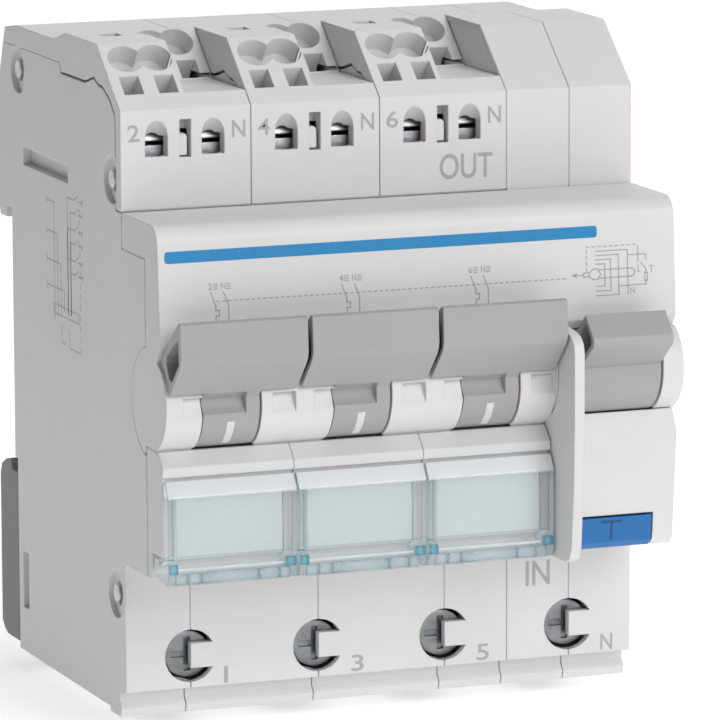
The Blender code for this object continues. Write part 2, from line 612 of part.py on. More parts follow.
def rcd_front():
    """The lower nose front of the residual current part, with the guard that stands beside its lever."""
    middle = module_middle(BREAKERS)
    outline = [
        (NOSE_SPLIT_Y, SWITCH_SPLIT_Z), (-59.1, SWITCH_SPLIT_Z), (-60.5, -6.95), (-59.15, -21.0),
        (-58.3, NOSE_BOTTOM_Z), (NOSE_SPLIT_Y, NOSE_BOTTOM_Z),
    ]
    front = plate("rcd_front", outline, MODULE + SEAM, HALF_WIDTH, HOUSING)
    guard = (
        [(-56.0, NOSE_BOTTOM_Z), (-65.2, NOSE_BOTTOM_Z), (-66.6, -21.3), (-67.3, -19.8), (-68.0, -12.0), (-68.3, -4.0)]
        + [(-68.3, 5.4), (-68.0, 6.6), (-67.2, 7.4), (-66.0, 7.8), (-61.4, 8.3), (-60.9, 7.8), (-60.4, 6.9)]
        + arc(SWITCH_AXIS, BAND_RADIUS + 0.3, 52, -58, 12)
        + [(-56.0, -4.6)]
    )
    join(front, plate("guard_rib", guard, MODULE + SEAM, MODULE + SEAM + 1.35))
    cut(front, box("rcd_front_hollow", (MODULE + 2.4, -58.0, -16.6), (HALF_WIDTH - 1.6, -54, -6.8)))
    cut(front, box("button_opening", (20.5, -62, -23), (32.2, -54, -17.5)))
    drum_room(front, middle, LEVER_DRUM_HALF, SWITCH_AXIS)

    button_outline = [(-59.75, -17.75), (-59.4, -21.0), (-58.6, NOSE_BOTTOM_Z), (-56.2, NOSE_BOTTOM_Z), (-56.2, -17.75)]
    button = plate("test_button", button_outline, 20.75, 31.95, BLUE)
    join(button, box("button_stem", (24.5, -57, -20.2), (28, -48.5, -18.2)))
    pivot("test_button_guide", (middle, -57, -19.8), button)


def rail_clips():
    """The two sprung clips that hold the rail's lower edge."""
    outline = [
        (-0.8, -17.9), (1.7, -17.9), (2.1, -16.4), (4.4, -16.9), (6.3, -17.8), (6.9, -19.2), (6.9, -39.4),
        (6.0, -40.4), (4.6, -41.0), (-0.8, -41.0),
    ]
    for name, low, high in (("left", -34.95, -17.85), ("right", 17.85, 34.95)):
        clip = plate(f"rail_clip_{name}", outline, low, high, CLIP)
        cut(clip, box(f"clip_{name}_tool_slot", (low + 4.5, 1.5, -42), (high - 4.5, 4.2, -36)))
        pivot(f"rail_clip_{name}_guide", ((low + high) / 2, 0, -29), clip)


def input_terminal(index):
    """A screw and the lift cage that it pulls towards the front."""
    middle = module_middle(index)
    cage = box(f"input_cage_{index + 1}", (middle - 4.3, -39.4, -37.9), (middle + 4.3, -28.4, -30.3), STEEL)
    cut(cage, box(f"cage_{index + 1}_opening", (middle - 3.1, -38.1, -40), (middle + 3.1, -29.6, -28)))
    cut(cage, cylinder(f"cage_{index + 1}_thread", 2.2, -41, -37, (middle, SCREW_Z), axis="Y", segments=16))
    screw = cylinder(f"input_screw_{index + 1}", 2.0, -43.2, -37.2, (middle, SCREW_Z), STEEL, axis="Y", segments=16)
    join(screw, cylinder(f"screw_{index + 1}_head", 3.05, -44.0, -42.9, (middle, SCREW_Z), axis="Y", segments=24))
    for turn in (0, math.pi / 2):
        slot = box(
            f"screw_{index + 1}_slot_{round(math.degrees(turn))}", (middle - 2.2, -44.5, SCREW_Z - 0.4),
            (middle + 2.2, -43.5, SCREW_Z + 0.4), turn=(0, turn, 0),
        )
        cut(screw, slot)
    pivot(f"input_screw_{index + 1}_axis", (middle, -43, SCREW_Z), screw)
    pivot(f"input_cage_{index + 1}_guide", (middle, -34, SCREW_Z), cage)


def breaker_inside(index):
    """The trip coil with its contact rail, the moving contact and the arc chute of one breaker."""
    left = module_left(index)
    number = index + 1
    turns = [(0, 7.0), (4.2, 7.0), (4.2, 6.2)]
    for i in range(6):
        height = 5.9 - i * 2.0
        turns += [(3.5, height), (4.0, height - 0.6), (4.0, height - 1.2), (3.5, height - 1.8)]
    turns += [(4.2, -6.2), (4.2, -7.0), (0, -7.0)]
    coil = turned(f"trip_coil_{number}", turns, COPPER, (left + 6.4, -28.0, 14.0), (math.pi / 2, 0, 0), steps=16)
    rail = [(-34.6, 16.0), (-34.6, 7.0), (-27.9, 7.0), (-27.9, -15.0), (-26.9, -15.0), (-26.9, 8.0), (-33.6, 8.0), (-33.6, 16.0)]
    join(coil, plate(f"contact_rail_{number}", rail, left + 4.9, left + 7.4))
    arm = arc((-43.0, -6.0), 1.4, -70, 110, 6) + [(-42.4, -4.8), (-29.4, -10.3), (-28.3, -10.8), (-28.3, -13.2), (-29.4, -13.2), (-29.9, -11.6)]
    contact = plate(f"moving_contact_{number}", arm, left + 5.5, left + 6.7, COPPER)
    pivot(f"moving_contact_{number}_axis", (left + 6.1, -43.0, -6.0), contact)
    chute = box(f"arc_chute_{number}", (left + 2.6, -25.6, -34.0), (left + 9.4, -9.0, -20.0), STEEL)
    for i in range(6):
        bottom = -33.2 + i * 2.2
        cut(chute, box(f"chute_{number}_gap_{i}", (left + 3.2, -27, bottom), (left + 8.8, -8, bottom + 1.4)))


def switch_inside():
    """The sum-current transformer, the trip relay and the test board of the residual current part."""
    bpy.ops.mesh.primitive_torus_add(
        major_segments=28, minor_segments=10, major_radius=8.5 * MM, minor_radius=3.8 * MM,
        location=(26.3 * MM, -24 * MM, -8 * MM), rotation=(0, math.pi / 2, 0),
    )
    ring = bpy.context.object
    ring.name = "sum_transformer"
    for found in list(ring.users_collection):
        found.objects.unlink(ring)
    PARTS.objects.link(ring)
    ring.data.materials.append(DARK)
    shade(ring)
    relay = box("trip_relay", (20.5, -34, 12), (30.5, -20, 24), DARK)
    join(relay, cylinder("relay_plunger", 1.2, -36.5, -33, (25.5, 18), axis="Y", segments=16))
    board = box("test_board", (31.4, -40, 8), (32.4, -12, 34), BOARD)
    join(board, box("board_resistor", (29.4, -30, 27.5), (31.8, -20, 30)))
    join(board, box("board_chip", (30.2, -18, 14), (31.8, -14, 20)))


def tie_screws():
    for key, centre in TIE_SCREWS.items():
        screw = cylinder(f"tie_screw_{key}", TIE_RADIUS, -34.6, 34.6, centre, STEEL, segments=12)
        for side in (-1, 1):
            low, high = sorted((side * 34.35, side * 34.95))
            join(screw, cylinder(f"tie_head_{key}_{side}", TIE_HEAD_RADIUS, low, high, centre, segments=18))


def main():
    case_shells()
    for i in range(BREAKERS):
        push_in_block(i)
        label_holder(i)
        label_cover(i)
        breaker_inside(i)
    front_cover()
    rockers()
    rcd_front()
    rail_clips()
    for i in range(BREAKERS + 1):
        input_terminal(i)
    switch_inside()
    tie_screws()


main()
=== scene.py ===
"""Finishes, marks and studio for the four-module residual current device.

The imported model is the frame. Every moulded part gets a finished copy with soft edges, the clear covers, marks
and stripes are added, and each piece rides on the body that carries it.
"""

import json
import math

import bmesh
import bpy
from bpy.props import FloatProperty, FloatVectorProperty, PointerProperty
from mathutils import Euler, Matrix, Vector
from mathutils.bvhtree import BVHTree

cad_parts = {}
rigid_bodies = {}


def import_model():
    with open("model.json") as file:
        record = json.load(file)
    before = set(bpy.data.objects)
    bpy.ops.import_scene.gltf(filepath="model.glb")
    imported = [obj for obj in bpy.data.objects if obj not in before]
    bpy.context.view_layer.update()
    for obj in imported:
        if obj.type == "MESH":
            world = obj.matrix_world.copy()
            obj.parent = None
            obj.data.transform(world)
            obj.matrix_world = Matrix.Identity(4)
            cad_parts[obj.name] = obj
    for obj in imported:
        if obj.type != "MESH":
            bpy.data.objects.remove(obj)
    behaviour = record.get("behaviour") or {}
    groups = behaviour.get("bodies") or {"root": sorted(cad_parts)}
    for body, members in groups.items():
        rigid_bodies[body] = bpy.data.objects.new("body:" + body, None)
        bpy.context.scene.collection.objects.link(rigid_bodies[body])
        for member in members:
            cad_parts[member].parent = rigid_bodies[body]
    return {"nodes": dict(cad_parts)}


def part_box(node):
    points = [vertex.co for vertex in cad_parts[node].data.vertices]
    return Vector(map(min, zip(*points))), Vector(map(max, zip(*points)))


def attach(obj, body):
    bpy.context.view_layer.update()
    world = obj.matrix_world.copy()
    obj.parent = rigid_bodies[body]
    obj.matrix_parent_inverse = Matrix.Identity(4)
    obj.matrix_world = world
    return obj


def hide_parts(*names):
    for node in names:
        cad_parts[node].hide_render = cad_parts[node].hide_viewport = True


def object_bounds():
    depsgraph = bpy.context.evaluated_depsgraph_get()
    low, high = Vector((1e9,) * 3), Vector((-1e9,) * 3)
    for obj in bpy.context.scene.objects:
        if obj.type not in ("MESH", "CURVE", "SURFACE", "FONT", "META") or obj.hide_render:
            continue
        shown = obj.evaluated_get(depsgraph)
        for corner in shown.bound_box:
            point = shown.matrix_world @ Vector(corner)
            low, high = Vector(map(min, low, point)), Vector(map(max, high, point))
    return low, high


bl_info = {
    "name": "Residual Current Device",
    "version": (1, 0, 0),
    "blender": (4, 5, 0),
    "location": "View3D > Sidebar > Device",
    "description": "Finishes, marks and studio for a four-module residual current device",
    "category": "Object",
}

MM = 0.001
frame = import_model()
CAD_BOX = [list(corner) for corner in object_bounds()]
LOW = Vector(CAD_BOX[0])

# In millimetres: the module width, the shells' seams, the terminal face, and the breaker rockers' axis and drum.
MODULE = 17.5
SEAMS = (0, 8.75, 17.5, 26.25)
FACE_Y = -45.4
AXIS = Vector((0, -56.1, 0.7))
DRUM_RADIUS = 5.9

BREAKERS = (1, 2, 3)
TERMINALS = (1, 2, 3, 4)

# Edges that turn by more than SOFT_ANGLE are softened, and shading breaks at CREASE_ANGLE. A form whose full soft
# edge isn't sound tries the smaller shares of it, and then stays crisp.
SOFT_ANGLE = math.radians(24)
CREASE_ANGLE = math.radians(38)
SOFT_SHARES = (1, 0.5, 0.25)


def module_left(number):
    return (number - 1) * MODULE - 35


def module_middle(number):
    return module_left(number) + MODULE / 2


class DeviceSizes(bpy.types.PropertyGroup):
    """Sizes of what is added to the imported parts."""

    edge: FloatProperty(
        name="Moulded edge", description="Width of the soft edge on every moulded part", default=0.14 * MM,
        min=0, max=0.5 * MM, precision=5, unit="LENGTH",
    )
    metal_edge: FloatProperty(
        name="Metal edge", description="Width of the broken edge on stamped and turned metal", default=0.08 * MM,
        min=0, max=0.3 * MM, precision=5, unit="LENGTH",
    )
    ink: FloatProperty(
        name="Ink thickness", description="How far a printed mark stands above its surface", default=0.015 * MM,
        min=0.005 * MM, max=0.1 * MM, precision=6, unit="LENGTH",
    )
    line: FloatProperty(
        name="Line width", description="Width of the lines of the printed diagram", default=0.16 * MM,
        min=0.05 * MM, max=0.5 * MM, precision=5, unit="LENGTH",
    )
    lens: FloatProperty(
        name="Lens", description="Focal length of the studio camera in millimetres", default=323.09, min=50, max=600
    )
    key_light: FloatProperty(
        name="Key light", description="Power of the large soft light in front", default=9.3, min=0, unit="POWER"
    )


def colour(label, value):
    return FloatVectorProperty(
        name=label, description=f"Linear colour of the {label.lower()}", subtype="COLOR", size=3, min=0, max=1,
        default=value,
    )


class DeviceColours(bpy.types.PropertyGroup):
    """Colours of the device's plastics, metals and inks."""

    housing: colour("Housing", (0.70, 0.69, 0.685))
    rocker: colour("Rockers", (0.37, 0.37, 0.38))
    button: colour("Test button", (0.004, 0.135, 0.40))
    clip: colour("Rail clips", (0.19, 0.19, 0.195))
    cover: colour("Label covers", (0.96, 0.985, 0.995))
    cover_edge: colour("Label cover edges", (0.16, 0.52, 0.68))
    card: colour("Label cards", (0.68, 0.73, 0.75))
    bar: colour("Printed bar", (0.001, 0.22, 0.50))
    ink: colour("Printed marks", (0.40, 0.40, 0.405))
    zinc: colour("Zinc", (0.58, 0.60, 0.62))
    copper: colour("Copper", (0.72, 0.36, 0.22))


# ---------------------------------------------------------------- shader building


class Wire:
    """A shader socket. Arithmetic on it adds Math nodes."""

    def __init__(self, paint, socket):
        self.paint = paint
        self.socket = socket

    def maths(self, operation, first, second=0.0):
        return self.paint.node("ShaderNodeMath", {"operation": operation}, {0: first, 1: second})

    def __add__(self, other):
        return self.maths("ADD", self, other)

    def __radd__(self, other):
        return self.maths("ADD", other, self)

    def __sub__(self, other):
        return self.maths("SUBTRACT", self, other)

    def __rsub__(self, other):
        return self.maths("SUBTRACT", other, self)

    def __mul__(self, other):
        return self.maths("MULTIPLY", self, other)

    def __rmul__(self, other):
        return self.maths("MULTIPLY", other, self)

    def clamped(self):
        return self.paint.node("ShaderNodeClamp", None, {0: self})

    def between(self, low, high):
        """0 at low, 1 at high, straight in between."""
        return self.paint.node("ShaderNodeMapRange", {"clamp": True}, {0: self, 1: low, 2: high})


class Paint:
    """One material under construction."""

    def __init__(self, name):
        self.material = bpy.data.materials.new(name)
        self.material.use_nodes = True
        self.tree = self.material.node_tree
        self.shader = self.tree.nodes["Principled BSDF"]
        self.place = self.node("ShaderNodeTexCoord", output="Object")

    def node(self, kind, settings=None, sockets=None, output=0):
        """Adds a node, sets it up, then fills its sockets with values or links them."""
        node = self.tree.nodes.new(kind)
        for key, value in (settings or {}).items():
            if key == "stops":
                ramp = node.color_ramp
                for stop, (position, shade) in zip((*ramp.elements, *[None] * len(value)), value):
                    stop = stop or ramp.elements.new(position)
                    stop.position, stop.color = position, (*shade, 1)
            else:
                setattr(node, key, value)
        for key, value in (sockets or {}).items():
            self.fill(node.inputs[key], value)
        return Wire(self, node.outputs[output])

    def fill(self, socket, value):
        if isinstance(value, Wire):
            self.tree.links.new(value.socket, socket)
        elif hasattr(socket.default_value, "__len__") and len(value) < len(socket.default_value):
            socket.default_value = (*value, 1)
        else:
            socket.default_value = value

    def set(self, **values):
        """Fills the main shader's sockets, named with underscores for spaces."""
        for key, value in values.items():
            self.fill(self.shader.inputs[key.replace("_", " ")], value)
        return self.material

    def noise(self, size, detail=2.0, stretch=None, roughness=0.5):
        """Noise whose features are about size millimetres across, stretched along the axes by stretch."""
        place = self.place
        if stretch:
            place = self.node("ShaderNodeMapping", None, {"Vector": place, "Scale": stretch})
        values = {"Vector": place, "Scale": 1 / (size * MM), "Detail": detail, "Roughness": roughness}
        return self.node("ShaderNodeTexNoise", None, values, "Fac")

    def mix(self, factor, first, second):
        return self.node("ShaderNodeMix", {"data_type": "RGBA"}, {0: factor, 6: first, 7: second}, 2)

    def soft_normal(self, radius):
        return self.node("ShaderNodeBevel", {"samples": 6}, {"Radius": radius * MM})

    def edges(self, normal, gain=6.0):
        """1 along sharp edges, 0 on flat faces."""
        true_normal = self.node("ShaderNodeNewGeometry", output="True Normal")
        straight = self.node(
            "ShaderNodeVectorMath", {"operation": "DOT_PRODUCT"}, {0: normal, 1: true_normal}, "Value"
        )
        return ((1 - straight) * gain).clamped()

    def bump(self, height, strength, distance, normal=None):
        values = {"Height": height, "Strength": strength, "Distance": distance * MM}
        if normal:
            values["Normal"] = normal
        return self.node("ShaderNodeBump", None, values)


def shaded(value, gain):
    return tuple(min(1.0, part * gain) for part in value)


def moulded(name, tone, rough=0.46, grain=0.10, edge=0.22, mottle=0.03, spark=0.35):
    """Moulded plastic: a spark-eroded grain, faint flow marks, and edges polished by the mould and painted lighter, a
    painted highlight.
    """
    paint = Paint(name)
    flow = paint.noise(9.0, 3.0, (0.5, 0.5, 1.6))
    cloud = paint.noise(26.0, 2.0)
    fine = paint.noise(grain, 2.0)
    specks = paint.noise(0.55, 1.0)
    normal = paint.soft_normal(edge)
    rim = paint.edges(normal)
    tint = ((flow * 0.6 + cloud * 0.4).between(0.35, 0.65) + (specks - 0.5) * 0.35).clamped()
    body = paint.mix(tint, shaded(tone, 1 - mottle), shaded(tone, 1 + mottle * 0.6))
    # Sharp edges painted lighter than the body: a painted highlight. Their lower roughness below is the mould's
    # polish.
    surface = paint.mix(rim * 0.5, body, shaded(tone, 1.08))
    return paint.set(
        Base_Color=surface,
        Roughness=(rough + (fine - 0.5) * 0.16 + (flow - 0.5) * 0.10 - rim * 0.08).clamped(),
        Normal=paint.bump(fine * 0.8 + specks * 0.4, spark, 0.012, normal),
    )


def sheet_metal(name, tone, rough=0.3, stretch=(0.2, 1, 1), spangle=0.5):
    """Plated metal: cloudy crystals, drawing scratches and a little tarnish in patches."""
    paint = Paint(name)
    crystals = paint.node(
        "ShaderNodeTexVoronoi", {"feature": "F1"}, {"Vector": paint.place, "Scale": 1 / (1.1 * MM)}, "Color"
    )
    crystal = paint.node("ShaderNodeSeparateColor", None, {0: crystals}, "Red")
    scratches = paint.noise(0.25, 3.0, stretch, 0.65)
    dirt = paint.noise(1.6, 4.0)
    normal = paint.soft_normal(0.1)
    rim = paint.edges(normal)
    stain = (dirt.between(0.35, 0.7) * 0.45 + crystal * 0.25 * spangle).clamped()
    body = paint.mix(stain, tone, shaded(tone, 0.42))
    return paint.set(
        # Sharp edges painted lighter than the body: a painted highlight. Their lower roughness is the metal's own.
        Base_Color=paint.mix(rim * 0.6, body, shaded(tone, 1.25)),
        Metallic=1.0,
        Roughness=(rough + (scratches - 0.5) * 0.25 + stain * 0.18 - rim * 0.1).clamped(),
        Normal=paint.bump(scratches + dirt * 0.6, 0.5, 0.03, normal),
    )


def clear_plastic(name, tone, edge_tone):
    """Clear plastic that shows its tint where it is seen edge on, through its corners and ribs. Seen at a slant it
    turns pale and opaque, a painted reflection, and so does its top band, a painted highlight.
    """
    paint = Paint(name)
    normal = paint.soft_normal(0.16)
    rim = paint.edges(normal, 9.0)
    swirl = paint.noise(3.0, 2.0)
    skin = paint.bump(swirl, 0.12, 0.02, normal)
    fresnel = paint.node("ShaderNodeFresnel", None, {"IOR": 1.5})
    height = paint.node("ShaderNodeSeparateXYZ", None, {0: paint.place}, "Z")
    # 1 above -10.25 mm, rising from -10.75 mm: the cover's top band, where a painted highlight goes.
    highlight_band = height.between(-10.75 * MM, -10.25 * MM)
    paint.set(
        Base_Color=paint.mix(rim.clamped(), tone, edge_tone), Roughness=(0.05 + swirl * 0.05).clamped(), Normal=skin,
        Coat_Weight=0.6, Coat_Roughness=0.03,
    )
    through = paint.node(
        "ShaderNodeBsdfTransparent", None, {"Color": paint.mix(rim * 0.85, shaded(tone, 1.08), edge_tone)}
    )
    body = Wire(paint, paint.shader.outputs[0])
    # Opacity: a little everywhere, more at a slant (painted reflection), at the tinted edges, and on the top band
    # (painted highlight).
    factor = (0.07 + fresnel * 1.4 + rim * 0.30 + highlight_band * 0.62).clamped()
    blended = paint.node("ShaderNodeMixShader", None, {0: factor, 1: through, 2: body})
    output = paint.tree.nodes["Material Output"]
    paint.tree.links.new(blended.socket, output.inputs["Surface"])
    return paint.material


def printed(name, tone, rough=0.55):
    """Pad-printed ink: slightly uneven cover and a dull, pitted skin."""
    paint = Paint(name)
    cover = paint.noise(0.5, 3.0)
    pits = paint.noise(0.09, 1.0)
    return paint.set(
        Base_Color=paint.mix(cover.between(0.3, 0.7), shaded(tone, 0.94), shaded(tone, 1.06)),
        Roughness=(rough + (pits - 0.5) * 0.2).clamped(),
        Normal=paint.bump(pits, 0.3, 0.008),
    )


def paper(name, tone):
    """Label card: short fibres in two directions and a soft, matt surface."""
    paint = Paint(name)
    fibres = paint.noise(0.35, 4.0, (0.25, 1, 1), 0.7) * 0.5 + paint.noise(0.35, 4.0, (1, 1, 0.25), 0.7) * 0.5
    tooth = paint.noise(0.08, 1.0)
    return paint.set(
        Base_Color=paint.mix(fibres.between(0.35, 0.65), shaded(tone, 0.96), shaded(tone, 1.03)),
        Roughness=(0.72 + (tooth - 0.5) * 0.2).clamped(),
        Normal=paint.bump(fibres + tooth * 0.5, 0.3, 0.01),
    )


def circuit_board(name):
    """Green solder mask with darker copper runs beneath it."""
    paint = Paint(name)
    runs = paint.node(
        "ShaderNodeTexBrick", {"offset": 0.37},
        {"Vector": paint.place, "Scale": 260.0, "Mortar Size": 0.06, "Color1": (1, 1, 1, 1), "Color2": (1, 1, 1, 1),
         "Mortar": (0, 0, 0, 1)},
        "Fac",
    )
    haze = paint.noise(2.0, 3.0)
    return paint.set(
        Base_Color=paint.mix(runs, (0.02, 0.17, 0.07), (0.05, 0.30, 0.12)),
        Roughness=(0.3 + haze * 0.2).clamped(),
        Normal=paint.bump(runs, 0.4, 0.03),
    )


# ---------------------------------------------------------------- mesh building


def add(name, mesh, material, body):
    """A new piece that rides on a body, with the given material."""
    obj = bpy.data.objects.new(name, mesh)
    bpy.context.scene.collection.objects.link(obj)
    mesh.materials.clear()
    mesh.materials.append(material)
    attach(obj, body)
    return obj


def body_of(node):
    return frame["nodes"][node].parent.name.split(":")[1]


def on_seam(edge):
    """Whether an edge borders a joint face between two modules' mouldings, which stays crisp."""
    first, second = (corner.co.x for corner in edge.verts)
    upright = abs(first - second) < 0.02 * MM
    near = any(abs(abs(first) - seam * MM) < 0.16 * MM for seam in SEAMS)
    return upright and near and any(abs(face.normal.x) > 0.99 for face in edge.link_faces)


def soften(form, width):
    """Bevels the long sharp edges of a closed form, leaving short ones and any that end at a very short one."""
    sharp = {
        edge for edge in form.edges
        if len(edge.link_faces) == 2 and edge.calc_length() > 3.2 * width
        and edge.calc_face_angle(0) > SOFT_ANGLE and not on_seam(edge)
    }
    cramped = {
        edge for edge in sharp for corner in edge.verts for other in corner.link_edges
        if other not in sharp and other.calc_length() < 1.6 * width
    }
    sharp = [edge for edge in form.edges if edge in sharp and edge not in cramped]
    bmesh.ops.bevel(
        form, geom=sharp, offset=width, offset_type="OFFSET", segments=2, profile=0.5, affect="EDGES",
        clamp_overlap=False, miter_outer="SHARP",
    )


def sound(form, plain, width):
    """Whether a softened form keeps to the plain one, with no face off its surface or turned against it."""
    far, near, against = 0.8 * width, 0.05 * width, -0.5
    most_wrong = 0.05 * width * width
    tree = BVHTree.FromBMesh(plain)
    trial = form.copy()
    bmesh.ops.triangulate(trial, faces=trial.faces)
    wrong = 0.0
    for face in trial.faces:
        _, normal, _, distance = tree.find_nearest(face.calc_center_median())
        if distance > far or (distance < near and face.normal.dot(normal) < against):
            wrong += face.calc_area()
    trial.free()
    return wrong < most_wrong


def finished(node, material, width):
    """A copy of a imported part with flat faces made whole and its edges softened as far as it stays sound.

    It stands for that part.
    """
    form = bmesh.new()
    form.from_mesh(frame["nodes"][node].data)
    bmesh.ops.remove_doubles(form, verts=form.verts, dist=0.002 * MM)
    bmesh.ops.dissolve_limit(
        form, angle_limit=math.radians(0.6), verts=form.verts, edges=form.edges, use_dissolve_boundaries=False
    )
    plain = form.copy()
    for share in SOFT_SHARES:
        if not width:
            break
        soften(form, width * share)
        if sound(form, plain, width * share):
            break
        form.free()
        form = plain.copy()
    mesh = bpy.data.meshes.new(node + "_finished")
    bmesh.ops.triangulate(form, faces=[face for face in form.faces if len(face.verts) > 4])
    form.to_mesh(mesh)
    form.free()
    if "custom_normal" in mesh.attributes:
        mesh.attributes.remove(mesh.attributes["custom_normal"])
    mesh.shade_smooth()
    mesh.set_sharp_from_angle(angle=CREASE_ANGLE)
    piece = add(node + "_finished", mesh, material, body_of(node))
    normals = piece.modifiers.new("weighted normals", "WEIGHTED_NORMAL")
    normals.keep_sharp = True
    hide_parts(node)


def ribbons(name, chains, width, height, material, body, place=None):
    """Raised flat lines along chains of (x, z) points on a plane that faces -Y, at a height above it."""
    form = bmesh.new()
    for chain in chains:
        for start, end in zip(chain, chain[1:]):
            start, end = Vector((start[0], 0, start[1])), Vector((end[0], 0, end[1]))
            along = (end - start).normalized() * width / 2
            across = Vector((-along.z, 0, along.x))
            start, end = start - along * 0.6, end + along * 0.6
            corners = [start + across, start - across, end - across, end + across]
            top = [form.verts.new(corner - Vector((0, height, 0))) for corner in corners]
            base = [form.verts.new(corner + Vector((0, height, 0))) for corner in corners]
            form.faces.new(top)
            form.faces.new(list(reversed(base)))
            for i in range(4):
                form.faces.new((top[i - 1], base[i - 1], base[i], top[i]))
    bmesh.ops.recalc_face_normals(form, faces=form.faces)
    mesh = bpy.data.meshes.new(name)
    form.to_mesh(mesh)
    form.free()
    if place:
        mesh.transform(place)
    add(name, mesh, material, body)


def plate(outline, low, high, axis="X"):
    """A closed form between low and high along axis, from an outline of (Y, Z) or (X, Z) points."""
    form = bmesh.new()
    rows = []
    for level in (low, high):
        if axis == "X":
            rows.append([form.verts.new(Vector((level, u, v)) * MM) for u, v in outline])
        else:
            rows.append([form.verts.new(Vector((u, level, v)) * MM) for u, v in outline])
    form.faces.new(rows[0])
    form.faces.new(list(reversed(rows[1])))
    for i in range(len(outline)):
        form.faces.new((rows[0][i - 1], rows[1][i - 1], rows[1][i], rows[0][i]))
    bmesh.ops.recalc_face_normals(form, faces=form.faces)
    return form


def to_mesh(form, name, smooth=35):
    mesh = bpy.data.meshes.new(name)
    form.to_mesh(mesh)
    form.free()
    mesh.shade_smooth()
    mesh.set_sharp_from_angle(angle=math.radians(smooth))
    return mesh


def letters(name, text, low, high, y, material, ink, place=None, weight=0.012):
    """Letters printed on the housing, fitted to the box from low to high, as (x, z), on a plane at y, then placed."""
    curve = bpy.data.curves.new(name, "FONT")
    curve.body = text
    curve.offset = weight
    curve.extrude = 1.0
    helper = bpy.data.objects.new(name, curve)
    bpy.context.scene.collection.objects.link(helper)
    bpy.context.view_layer.update()
    mesh = bpy.data.meshes.new_from_object(helper.evaluated_get(bpy.context.evaluated_depsgraph_get()))
    bpy.data.objects.remove(helper)
    spots = [vert.co for vert in mesh.vertices]
    left, right = min(co.x for co in spots), max(co.x for co in spots)
    base, top = min(co.y for co in spots), max(co.y for co in spots)
    middle = Vector(((low[0] + high[0]) / 2, y, (low[1] + high[1]) / 2)) * MM
    size = Vector(((high[0] - low[0]) / (right - left) * MM, (high[1] - low[1]) / (top - base) * MM, ink))
    centre = Matrix.Translation((-(left + right) / 2, -(base + top) / 2, 0))
    turn = Euler((math.pi / 2, 0, 0)).to_matrix().to_4x4()
    mesh.transform((place or Matrix()) @ Matrix.Translation(middle) @ turn @ Matrix.Diagonal((*size, 1)) @ centre)
    add(name, mesh, material, "housing")


def on_nose():
    """Lays a plane that faces -Y, through the origin, onto the nose's front, which leans back a little."""
    foot = Vector((0, -60.1, 8.3)) * MM
    lean = Matrix.Rotation(-math.atan2(0.85, 12.6), 4, "X")
    return Matrix.Translation(foot) @ lean @ Matrix.Translation((0, 0, -foot.z))


def seam_strip(chain, x, depth=0.05):
    """A thin strip a little below the surface of a seam, along (Y, Z) points with the inside on the right."""
    thick, half_wide = 0.6, 0.052
    points = [Vector(point) for point in chain]
    outer, inner = [], []
    for i, point in enumerate(points):
        along = (points[min(i + 1, len(points) - 1)] - points[max(i - 1, 0)]).normalized()
        inward = Vector((along.y, -along.x))
        outer.append(tuple(point + inward * depth))
        inner.append(tuple(point + inward * (depth + thick)))
    return plate(outer + inner[::-1], x - half_wide, x + half_wide)


def merged(forms, name):
    """One mesh from several forms."""
    whole = bmesh.new()
    for form in forms:
        part = bpy.data.meshes.new(name)
        form.to_mesh(part)
        form.free()
        whole.from_mesh(part)
        bpy.data.meshes.remove(part)
    return to_mesh(whole, name)


# ---------------------------------------------------------------- operators


class DeviceOperator:
    """What the device's operators share: the sizes and colours, and each material made once."""

    bl_options = {"REGISTER", "UNDO"}

    def sizes(self):
        return bpy.context.scene.device_sizes

    def tone(self, name):
        return tuple(getattr(bpy.context.scene.device_colours, name))

    def material(self, name):
        found = bpy.data.materials.get(name)
        if found:
            return found
        makers = {
            "housing_moulding": lambda: moulded(name, self.tone("housing")),
            "rocker_moulding": lambda: moulded(name, self.tone("rocker"), 0.42, 0.12, 0.2, 0.03),
            "button_moulding": lambda: moulded(name, self.tone("button"), 0.36, 0.12, 0.2, 0.05),
            "clip_moulding": lambda: moulded(name, self.tone("clip"), 0.5, 0.14, 0.2, 0.06, 0.5),
            "black_moulding": lambda: moulded(name, (0.035, 0.035, 0.038), 0.45, 0.12, 0.2, 0.1),
            "clear_moulding": lambda: clear_plastic(name, self.tone("cover"), self.tone("cover_edge")),
            "card_stock": lambda: paper(name, self.tone("card")),
            "printed_bar": lambda: printed(name, self.tone("bar"), 0.4),
            "grey_ink": lambda: printed(name, self.tone("ink")),
            "white_ink": lambda: printed(name, (0.68, 0.68, 0.68)),
            "faint_ink": lambda: printed(name, shaded(self.tone("housing"), 0.66)),
            "seam_shade": lambda: moulded(name, shaded(self.tone("housing"), 0.86)),
            # The test button's engraved T: a darker blue for the shade in its grooves, a painted shade.
            "mark_blue": lambda: moulded(name, shaded(self.tone("button"), 0.55), 0.4, 0.12, 0.2, 0.05),
            "knuckle_moulding": lambda: clear_plastic(name, (0.55, 0.84, 0.90), (0.06, 0.40, 0.55)),
            "zinc_plating": lambda: sheet_metal(name, self.tone("zinc")),
            "dark_zinc": lambda: sheet_metal(name, shaded(self.tone("zinc"), 0.5), 0.34),
            "bare_copper": lambda: sheet_metal(name, self.tone("copper"), 0.32, (1, 0.2, 1), 0.2),
            "core_resin": lambda: moulded(name, (0.03, 0.035, 0.05), 0.35, 0.4, 0.2, 0.2, 0.6),
            "board_mask": lambda: circuit_board(name),
        }
        return makers[name]()

    def finish(self, nodes, material, slot, metal=False):
        width = self.sizes().metal_edge if metal else self.sizes().edge
        for node in nodes:
            finished(node, self.material(material), width)


